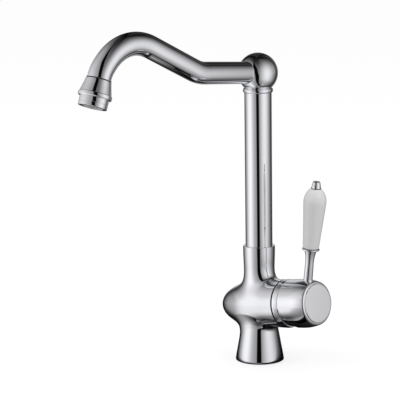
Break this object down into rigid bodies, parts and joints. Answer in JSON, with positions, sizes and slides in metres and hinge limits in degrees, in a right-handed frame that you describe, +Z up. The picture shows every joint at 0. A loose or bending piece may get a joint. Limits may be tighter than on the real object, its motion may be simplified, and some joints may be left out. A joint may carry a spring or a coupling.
{
  "type": "single lever kitchen mixer tap",
  "caption": "Side-lever kitchen mixer tap: a flared foot and a tilted valve barrel under a tall riser, a ball elbow and a cranked swan-neck spout that swivels; ceramic grip on the lever.",
  "frame": {"origin": "centre of the foot's underside, on the worktop", "axes": "+Z up along the riser, -Y along the spout towards its outlet, +X towards the side valve and its lever"},
  "size_m": [0.1337, 0.2588, 0.3506],
  "materials": {
    "chrome": "polished",
    "brass": "machined",
    "steel": "satin",
    "grip_ceramic": "glazed",
    "disc_ceramic": "lapped",
    "rubber": "matte",
    "grey_plastic": "satin",
    "white_plastic": "satin"
  },
  "bodies": {
    "valve_body": {"body_casting": "chrome", "base_seal": "rubber", "trim_ring": "chrome", "cartridge_cover": "chrome", "cartridge_nut": "brass", "cartridge_housing": "grey_plastic", "cartridge_base": "grey_plastic", "cartridge_seals": "rubber", "fixed_disc": "disc_ceramic", "neck_screw": "steel", "slip_washer": "white_plastic"},
    "mixer_carrier": {"cartridge_rotor": "white_plastic", "pivot_pin": "steel"},
    "sliding_disc": {"moving_disc": "disc_ceramic", "disc_carrier": "white_plastic"},
    "handle": {"cartridge_shank": "steel", "handle_cap": "chrome", "handle_end_disc": "chrome", "handle_set_screw": "steel", "lever_stem": "chrome", "lever_grip": "grip_ceramic", "lever_finial": "chrome", "lever_tie_rod": "steel", "grip_washers": "rubber"},
    "spout": {"riser_spigot": "brass", "spigot_o_rings": "rubber", "spigot_bushes": "white_plastic", "riser_tube": "chrome", "riser_collar": "chrome", "elbow_ball": "chrome", "spout_arm": "chrome", "spout_nozzle": "chrome", "aerator_housing": "chrome", "aerator_insert": "white_plastic", "aerator_screen": "steel", "aerator_gasket": "rubber"}
  },
  "joints": [
    {"name": "spout_swivel", "type": "hinge", "parent": "valve_body", "child": "spout", "pos_m": [0, 0, 0.1], "axis": [0, 0, 1], "continuous": true},
    {"name": "lever_mix", "type": "hinge", "parent": "valve_body", "child": "mixer_carrier", "pos_m": [0, 0, 0.06], "axis": [0.9863, 0, 0.165], "range_deg": [-45, 45]},
    {"name": "lever_lift", "type": "hinge", "parent": "mixer_carrier", "child": "handle", "pos_m": [0.04833, 0, 0.06809], "axis": [0, 1, 0], "range_deg": [0, 25]},
    {"name": "disc_slide", "type": "slide", "parent": "mixer_carrier", "child": "sliding_disc", "axis": [-0.165, 0, 0.9863], "range_m": [0, 0.0042]}
  ],
  "couplings": [
    {"joint": "disc_slide", "follows": "lever_lift", "m_per_rad": 0.0095}
  ]
}
